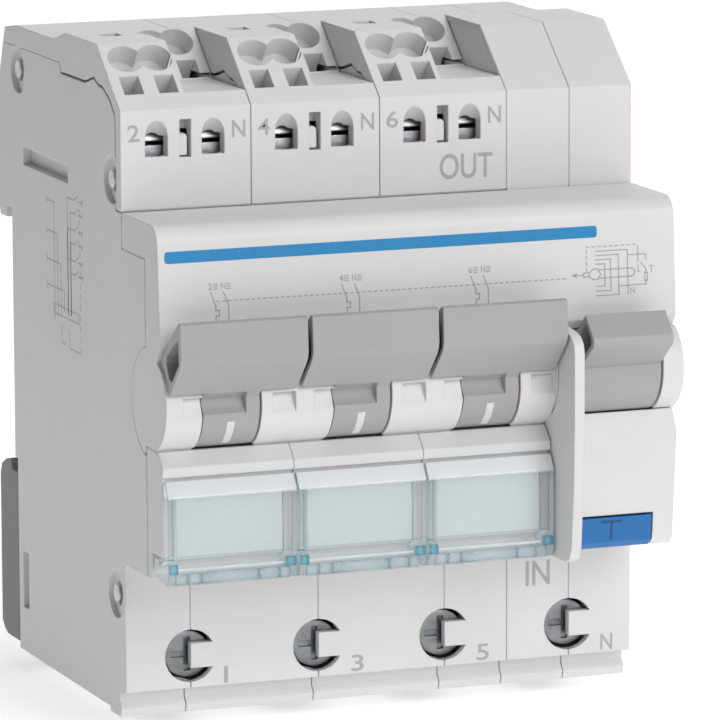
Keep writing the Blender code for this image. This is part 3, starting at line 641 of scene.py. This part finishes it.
class DEVICE_OT_housing(DeviceOperator, bpy.types.Operator):
    """The six housing shells, the terminal blocks with their latches, and the nose's fronts"""

    bl_idname = "device.housing"
    bl_label = "Housing"

    def execute(self, context):
        middles = [f"case_middle_{number}" for number in BREAKERS]
        shells = ["case_end_left", *middles, "rcd_case_left", "rcd_case_right"]
        kinds = ("push_in_block", "block_latch", "label_holder")
        blocks = [f"{kind}_{number}" for number in BREAKERS for kind in kinds]
        self.finish(shells + blocks + ["front_cover", "rcd_front"], "housing_moulding", "housing_plastic")
        forms = self.module_seams() + self.side_seams() + self.cover_seams()
        add("seam_strips", merged(forms, "seam_strips"), self.material("seam_shade"), "housing")
        return {"FINISHED"}

    def module_seams(self):
        """Strips in the upright joints between the shells, between the blocks and between the label holders."""
        block = [
            (FACE_Y, 23.6), (FACE_Y, 36.2), (-36.25, 43.75), (-23.6, 43.8), (-18.6, 42.5), (-2.8, 42.5), (2.0, 41.85),
        ]
        breaker_step = [(FACE_Y, 23.6), (FACE_Y, 36.2), (-43.35, 37.9), (-31.15, 37.95), (-24.1, 43.75)]
        holder = [(-60.5, -8.3), (-60.5, -7.0), (-58.65, -5.2)]
        forms = []
        for x in (-17.5, 0):
            forms.append(seam_strip(breaker_step, x, 0.2))
        for x in (17.5, 26.25):
            forms.append(seam_strip(block, x))
        for x in (-17.5, 0):
            forms.append(seam_strip(holder, x))
        for x in (-26.25, -8.75, 8.75, 26.25):
            forms.append(seam_strip([(FACE_Y, -31.0), (FACE_Y, -22.0)], x))
        forms.append(seam_strip([(-42.8, -39.3), (-45.35, -38.7), (FACE_Y, -22.0)], 17.5))
        return forms

    def side_seams(self):
        """Strips in the joints of the left side: round the front cover, its ear and the label holder."""
        side = (-34.95, -34.3)
        boxes = [
            ((-54.59, -21.8), (-54.31, 18.85)), ((-54.5, 18.71), (-45.5, 18.99)), ((-45.69, 18.8), (-45.41, 23.35)),
            ((-20.9, 39.68), (2.9, 39.8)),
        ]
        forms = [
            plate([(low[0], low[1]), (high[0], low[1]), (high[0], high[1]), (low[0], high[1])], *side)
            for low, high in boxes
        ]
        rows = []
        for radius in (7.15, 7.3):
            angles = [math.radians(104 + 152 * i / 24) for i in range(25)]
            rows.append([(AXIS.y - radius * math.cos(a), AXIS.z + radius * math.sin(a)) for a in angles])
        forms.append(plate(rows[0] + rows[1][::-1], *side))
        return forms

    def cover_seams(self):
        """Strips under the band between the drums, and where the blocks stand on the front cover."""
        forms = []
        for low, high in ((-34.95, -30.4), (-22.1, -12.9), (-4.6, 4.6), (12.9, 17.4)):
            outline = [(-58.25, -5.16), (-55.0, -5.16), (-55.0, -4.92), (-58.25, -4.92)]
            forms.append(plate(outline, low, high))
        forms.append(plate([(-45.36, 23.4), (-44.0, 23.4), (-44.0, 23.52), (-45.36, 23.52)], -34.95, 17.4))
        return forms


class DEVICE_OT_rockers(DeviceOperator, bpy.types.Operator):
    """The three rockers, each with the white stripe on its drum, and the lever"""

    bl_idname = "device.rockers"
    bl_label = "Rockers"

    def execute(self, context):
        rockers = [f"toggle_{number}" for number in BREAKERS]
        self.finish(rockers + ["rcd_lever"], "rocker_moulding", "rocker_plastic")
        half_wide, first_angle, sweep_angle = 0.48, -19.5, 40
        for number in BREAKERS:
            middle = module_middle(number)
            form = bmesh.new()
            rows = []
            for i in range(13):
                angle = math.radians(first_angle - sweep_angle * i / 12)
                out = Vector((0, -math.cos(angle), math.sin(angle)))
                pair = []
                for radius in (DRUM_RADIUS + 0.03, DRUM_RADIUS - 0.2):
                    for x in (-half_wide, half_wide):
                        pair.append(form.verts.new((Vector((middle + x, 0, 0)) + AXIS + out * radius) * MM))
                rows.append(pair)
            for first, second in zip(rows, rows[1:]):
                for a, b in ((0, 1), (1, 3), (3, 2), (2, 0)):
                    form.faces.new((first[a], first[b], second[b], second[a]))
            for row in (rows[0], rows[-1]):
                form.faces.new((row[0], row[1], row[3], row[2]))
            bmesh.ops.recalc_face_normals(form, faces=form.faces)
            mesh = to_mesh(form, f"drum_stripe_{number}")
            add(f"drum_stripe_{number}", mesh, self.material("white_ink"), f"toggle_{number}")
        return {"FINISHED"}


class DEVICE_OT_label_covers(DeviceOperator, bpy.types.Operator):
    """The clear covers with their hinge segments, and the cards behind them"""

    bl_idname = "device.label_covers"
    bl_label = "Label covers"

    def execute(self, context):
        self.finish([f"label_cover_{number}" for number in BREAKERS], "clear_moulding", "clear_plastic")
        self.finish([f"label_card_{number}" for number in BREAKERS], "card_stock", "label_card", True)
        segments = (
            (0.9, 2.5, 0.0), (2.65, 4.3, -0.05), (4.45, 12.0, 0.05), (12.15, 14.7, -0.05), (14.85, 16.2, 0.0),
        )
        for number in BREAKERS:
            left = module_left(number) + 0.15
            cover = f"label_cover_{number}"
            for i, (start, end, lift) in enumerate(segments):
                outline = [
                    (-62.05 - lift, -20.2), (-62.2 - lift, -20.35), (-62.2 - lift, -21.35), (-61.85, -21.75),
                    (-61.5, -21.6), (-61.8, -20.9), (-61.8, -20.2),
                ]
                form = plate(outline, left + start, left + end)
                soften(form, 0.06 * MM)
                name = f"hinge_segment_{number}_{i + 1}"
                add(name, to_mesh(form, name), self.material("clear_moulding"), cover)
            for side, start, end in (("left", 0.2, 1.25), ("right", 15.75, 17.0)):
                outline = [
                    (-62.1, -19.0), (-62.25, -19.25), (-62.25, -20.1), (-62.0, -20.25), (-61.4, -20.25),
                    (-61.4, -19.0),
                ]
                form = plate(outline, left + start, left + end)
                soften(form, 0.08 * MM)
                name = f"cover_knuckle_{number}_{side}"
                add(name, to_mesh(form, name), self.material("knuckle_moulding"), cover)
        return {"FINISHED"}


class DEVICE_OT_test_button(DeviceOperator, bpy.types.Operator):
    """The blue test button with the engraved T, whose grooves are raised strips in a darker blue, a painted shade"""

    bl_idname = "device.test_button"
    bl_label = "Test button"

    def execute(self, context):
        self.finish(["test_button"], "button_moulding", "button_plastic")
        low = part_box("test_button")[0] / MM
        lean = Matrix.Rotation(math.atan2(0.35, 3.25), 4, "X")
        top = Matrix.Translation(Vector((26.35, low.y, -17.75)) * MM)
        chains = [[(-1.3 * MM, -0.55 * MM), (1.3 * MM, -0.55 * MM)], [(0, -0.7 * MM), (0, -3.0 * MM)]]
        ribbons(
            "test_mark", chains, 0.34 * MM, self.sizes().ink, self.material("mark_blue"), "test_button",
            top @ lean,
        )
        return {"FINISHED"}


class DEVICE_OT_rail_clips(DeviceOperator, bpy.types.Operator):
    """The two dark rail clips"""

    bl_idname = "device.rail_clips"
    bl_label = "Rail clips"

    def execute(self, context):
        self.finish(["rail_clip_left", "rail_clip_right"], "clip_moulding", "clip_plastic")
        return {"FINISHED"}


class DEVICE_OT_metalwork(DeviceOperator, bpy.types.Operator):
    """Terminal screws, cages, clamps and tie screws"""

    bl_idname = "device.metalwork"
    bl_label = "Metalwork"

    def execute(self, context):
        screws = [f"input_screw_{number}" for number in TERMINALS]
        cages = [f"input_cage_{number}" for number in TERMINALS]
        ties = ["tie_screw_top_rear", "tie_screw_top_front", "tie_screw_bottom_front"]
        clamps = [f"output_clamp_{number}{pole}" for number in BREAKERS for pole in "ln"]
        self.finish(screws + cages, "dark_zinc", "zinc_plated_steel", True)
        self.finish(ties + clamps, "zinc_plating", "zinc_plated_steel", True)
        return {"FINISHED"}


class DEVICE_OT_inside(DeviceOperator, bpy.types.Operator):
    """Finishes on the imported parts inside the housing"""

    bl_idname = "device.inside"
    bl_label = "Inside"

    def execute(self, context):
        finishes = {
            "trip_coil": "bare_copper", "moving_contact": "bare_copper", "arc_chute": "zinc_plating",
            "sum_transformer": "core_resin", "trip_relay": "black_moulding", "test_board": "board_mask",
        }
        for name, obj in frame["nodes"].items():
            for start, material in finishes.items():
                if name.startswith(start):
                    for slot in obj.material_slots:
                        slot.material = self.material(material)
        return {"FINISHED"}


class DEVICE_OT_marks(DeviceOperator, bpy.types.Operator):
    """Terminal numbers, the blue bar, and the diagrams on the nose and the left side"""

    bl_idname = "device.marks"
    bl_label = "Marks"

    def execute(self, context):
        ink = self.sizes().ink
        grey = self.material("grey_ink")
        for number, top in zip(BREAKERS, "246"):
            left = module_left(number)
            letters(f"mark_{top}", top, (left + 0.95, 32.3), (left + 2.55, 34.45), FACE_Y, grey, ink)
            letters(f"mark_n_{number}", "N", (left + 14.95, 32.2), (left + 16.75, 34.4), FACE_Y, grey, ink)
        for number, text in zip(TERMINALS, "135N"):
            start = module_left(number) + 13.3
            wide = 0.55 if text == "1" else 1.7
            letters(f"mark_bottom_{text.lower()}", text, (start, -38.5), (start + wide, -36.3), FACE_Y, grey, ink)
        letters("mark_out", "OUT", (8.25, 25.2), (15.6, 28.5), FACE_Y, grey, ink)
        letters("mark_in", "IN", (20.2, -29.1), (23.6, -25.8), FACE_Y, grey, ink)
        self.bar()
        self.diagram()
        self.side_diagram()
        return {"FINISHED"}

    def bar(self):
        """The blue bar, straight across the cover, with rounded corners."""
        corner = 0.4
        outline = []
        for x, z, first in ((-33.7, 19.9, 90), (-33.7, 19.2, 180), (23.9, 19.2, 270), (23.9, 19.9, 0)):
            for i in range(5):
                angle = math.radians(first + 90 * i / 4)
                outline.append((x + corner * math.cos(angle), z + corner * math.sin(angle)))
        mesh = to_mesh(plate(outline, -0.015, 0.1, "Y"), "blue_bar")
        mesh.transform(on_nose())
        add("blue_bar", mesh, self.material("printed_bar"), "housing")

    def diagram(self):
        """A plain circuit diagram: pairs of switch contacts on one dashed link, and the sum-current transformer."""
        line, ink = self.sizes().line, self.sizes().ink
        grey = self.material("grey_ink")
        link = 13.75
        chains = [[(x, link), (x + 0.42, link)] for x in [i * 0.78 - 27.4 for i in range(61)]]
        for number in BREAKERS:
            middle = module_middle(number)
            for x, label in ((middle - 1.25, str(2 * number)), (middle + 0.45, "N")):
                chains.append([(x - 0.65, 14.9), (x, 13.2), (x, 12.6)])
                if label == "N":
                    chains.append([(x, 12.6), (x, 10.4)])
                else:
                    chains.append([(x, 12.6), (x + 0.45, 12.6), (x + 0.45, 11.9), (x, 11.9), (x, 10.4)])
                for height in (15.3, 15.6, 15.9):
                    chains.append([(x - 0.25, height), (x + 0.3, height)])
                low, high = (x - 0.95, 15.25), (x - 0.4, 16.1)
                letters(f"pole_{number}_{label}", label, low, high, 0, grey, ink, on_nose())
        chains += [
            [(24.03, 17.0), (28.45, 17.0), (28.45, 11.3)],
            [(24.03, 16.45), (27.18, 16.45), (27.18, 11.3), (24.03, 11.3)],
            [(24.03, 15.9), (26.09, 15.9), (26.09, 11.9), (24.03, 11.9)],
            [(24.03, 15.35), (25.26, 15.35), (25.26, 12.5), (24.03, 12.5)],
            [(28.45, 16.3), (30.98, 16.3), (30.98, 15.7)],
            [(30.3, 15.2), (30.98, 14.4), (30.98, 13.9)],
            [(30.8, 13.9), (31.16, 13.9), (31.16, 12.9), (30.8, 12.9), (30.8, 13.9)],
            [(30.98, 12.9), (30.98, 12.4), (27.18, 12.4)],
            [(29.9, 15.0), (29.9, 14.1), (30.2, 14.1)],
            [(24.5, 14.6), (28.9, 14.6)], [(24.5, 13.55), (28.9, 13.55)],
            [(22.3, 14.3), (23.1, 14.3), (23.1, 13.8), (22.3, 13.8), (22.3, 14.3)],
            [(23.1, 14.3), (23.7, 14.75), (24.3, 14.75), (24.7, 14.05), (24.3, 13.4), (23.7, 13.4), (23.1, 13.8)],
            [(22.3, 14.05), (20.9, 14.05)], [(21.4, 14.3), (20.9, 14.05), (21.4, 13.8)],
        ]
        bend, loop = [math.radians(90 - 180 * i / 8) for i in range(9)], 0.525
        chains.append([(28.9 + loop * math.cos(a), 14.075 + loop * math.sin(a)) for a in bend])
        for i in range(9):
            chains.append([(22.76 + i * 0.8, 17.6), (23.2 + i * 0.8, 17.6)])
        for i in range(4):
            chains.append([(22.76, 17.3 - i * 0.8), (22.76, 16.86 - i * 0.8)])
        chains.append([(29.9, 17.4), (29.9, 15.4)])
        for label, low, high in (("T", (31.4, 13.9), (32.1, 14.8)), ("N", (28.75, 11.3), (29.4, 12.1))):
            letters(f"symbol_{label.lower()}", label, low, high, 0, grey, ink, on_nose())
        place = [[(x * MM, z * MM) for x, z in chain] for chain in chains]
        ribbons("wiring_diagram", place, line, ink, grey, "housing", on_nose())

    def side_diagram(self):
        """The same circuit, drawn upright on the left side."""
        chains = []
        for i, start in enumerate((21.0, 17.0, 13.2, 9.8)):
            run = 18.0 + i * 1.3
            chains.append([(15.2, start), (run, start), (run, 5.6 + i * 0.5)])
            chains.append([(14.7, start + 0.4), (15.2, start), (14.7, start - 0.4)])
        for i, start in enumerate((22.4, 20.6, 18.4, 16.6, 14.4, 12.6)):
            run = 23.6 + (i % 2) * 1.2
            chains.append([(run, 7.0), (run, start), (26.6, start)])
            chains.append([(26.6, start), (27.8, start + 0.7)])
            chains.append([(27.9, start), (29.6, start)])
            chains.append([(29.6, start + 0.35), (29.6, start - 0.35)])
        chains.append([(17.6, 7.6), (28.0, 7.6), (28.0, 6.4), (17.6, 6.4), (17.6, 7.6)])
        chains += [[(28.6, z), (28.6, z + 0.7)] for z in [2.6 + i * 1.4 for i in range(14)]]
        chains += [[(24.0, 4.9), (24.0, 2.6), (28.6, 2.6)], [(20.8, 5.2), (20.8, 2.9), (22.3, 2.9)]]
        place = [[(y * MM, z * MM) for y, z in chain] for chain in chains]
        turn = Matrix.Translation((LOW.x, 0, 0)) @ Matrix.Rotation(-math.pi / 2, 4, "Z")
        ribbons(
            "side_diagram", place, self.sizes().line * 1.2, self.sizes().ink, self.material("faint_ink"), "housing",
            turn,
        )


class DEVICE_OT_stage(DeviceOperator, bpy.types.Operator):
    """The pale floor, the soft lights and the camera"""

    bl_idname = "device.stage"
    bl_label = "Stage"

    def execute(self, context):
        scene = context.scene
        self.sweep()
        self.world(scene)
        key = self.sizes().key_light
        aim = Vector((0, -0.03, 0))
        self.light("key", (0.30, -1.20, 0.60), 0.9, key, aim)
        self.light("top", (0.15, -0.15, 1.0), 0.7, key * 0.26, aim)
        camera = bpy.data.objects.new("studio_camera", bpy.data.cameras.new("studio_camera"))
        scene.collection.objects.link(camera)
        camera.data.lens = self.sizes().lens
        camera.data.sensor_width = 36
        camera.data.clip_start = 0.05
        camera.location = (-0.29295, -0.81131, 0.14413)
        yaw, pitch, roll = (math.radians(angle) for angle in (20.7475, 9.8174, -0.2479))
        ahead = Vector((math.sin(yaw) * math.cos(pitch), math.cos(yaw) * math.cos(pitch), -math.sin(pitch)))
        right = Vector((math.cos(yaw), -math.sin(yaw), 0))
        up = right.cross(ahead)
        turned = Matrix((
            right * math.cos(roll) + up * math.sin(roll), up * math.cos(roll) - right * math.sin(roll), -ahead
        )).transposed()
        camera.rotation_euler = turned.to_euler()
        scene.camera = camera
        return {"FINISHED"}

    def sweep(self):
        """A floor that curves up into a backdrop. It glows, a painted light that makes it white and lights the device
        from below and behind. It darkens to the left, which shades the device's left side.
        """
        floor, reach, bend, radius, height = LOW.z - 0.0006, 3.0, 0.35, 0.5, 2.5
        dark_from, light_from = -0.75, -0.16
        profile = [(-reach, floor), (bend, floor)]
        for i in range(1, 13):
            angle = math.radians(90 * i / 12)
            profile.append((bend + radius * math.sin(angle), floor + radius * (1 - math.cos(angle))))
        profile.append((bend + radius, height))
        form = bmesh.new()
        rows = [[form.verts.new((x, y, z)) for y, z in profile] for x in (-reach, reach)]
        for i in range(len(profile) - 1):
            form.faces.new((rows[0][i], rows[1][i], rows[1][i + 1], rows[0][i + 1]))
        mesh = to_mesh(form, "studio_sweep", 60)
        paint = Paint("studio_paper")
        grain = paint.noise(0.8, 3.0)
        glowing_side = paint.node("ShaderNodeSeparateXYZ", None, {0: paint.place}, "X").between(dark_from, light_from)
        white = paint.mix(grain.between(0.3, 0.7), (0.86, 0.86, 0.86), (0.88, 0.88, 0.88))
        # The right part glows white, a painted light; the left part is dark and does not glow.
        mesh.materials.append(paint.set(
            Base_Color=paint.mix(glowing_side, (0.10, 0.10, 0.10), white), Roughness=0.85,
            Emission_Color=paint.mix(glowing_side, (0.02, 0.02, 0.02), (1, 1, 1)), Emission_Strength=0.46,
        ))
        sweep = bpy.data.objects.new("studio_sweep", mesh)
        bpy.context.scene.collection.objects.link(sweep)

    def world(self, scene):
        world = bpy.data.worlds.new("studio_world")
        world.use_nodes = True
        world.node_tree.nodes["Background"].inputs["Color"].default_value = (1, 1, 1, 1)
        world.node_tree.nodes["Background"].inputs["Strength"].default_value = 0.2
        scene.world = world
        scene.view_settings.view_transform = "Standard"

    def light(self, name, place, size, power, aim):
        lamp = bpy.data.lights.new(name, "AREA")
        lamp.shape = "DISK"
        lamp.size = size
        lamp.energy = power
        obj = bpy.data.objects.new(name, lamp)
        obj.location = place
        obj.rotation_euler = (Vector(place) - aim).to_track_quat("Z", "Y").to_euler()
        bpy.context.scene.collection.objects.link(obj)


class DEVICE_PT_panel(bpy.types.Panel):
    """Lists the device's sizes, colours and steps in the 3D view's sidebar"""

    bl_idname = "DEVICE_PT_panel"
    bl_label = "Residual current device"
    bl_space_type = "VIEW_3D"
    bl_region_type = "UI"
    bl_category = "Device"

    def draw(self, context):
        for group in (context.scene.device_sizes, context.scene.device_colours):
            column = self.layout.column()
            for name in group.__annotations__:
                column.prop(group, name)
        for step in STEPS:
            self.layout.operator(step.bl_idname)


STEPS = (
    DEVICE_OT_housing, DEVICE_OT_rockers, DEVICE_OT_label_covers, DEVICE_OT_test_button, DEVICE_OT_rail_clips,
    DEVICE_OT_metalwork, DEVICE_OT_inside, DEVICE_OT_marks, DEVICE_OT_stage,
)
CLASSES = (DeviceSizes, DeviceColours, *STEPS, DEVICE_PT_panel)


def register():
    for cls in CLASSES:
        bpy.utils.register_class(cls)
    bpy.types.Scene.device_sizes = PointerProperty(type=DeviceSizes)
    bpy.types.Scene.device_colours = PointerProperty(type=DeviceColours)


def unregister():
    del bpy.types.Scene.device_colours
    del bpy.types.Scene.device_sizes
    for cls in reversed(CLASSES):
        bpy.utils.unregister_class(cls)


def main():
    register()
    for step in STEPS:
        group, name = step.bl_idname.split(".")
        getattr(getattr(bpy.ops, group), name)()


if __name__ == "__main__":
    main()
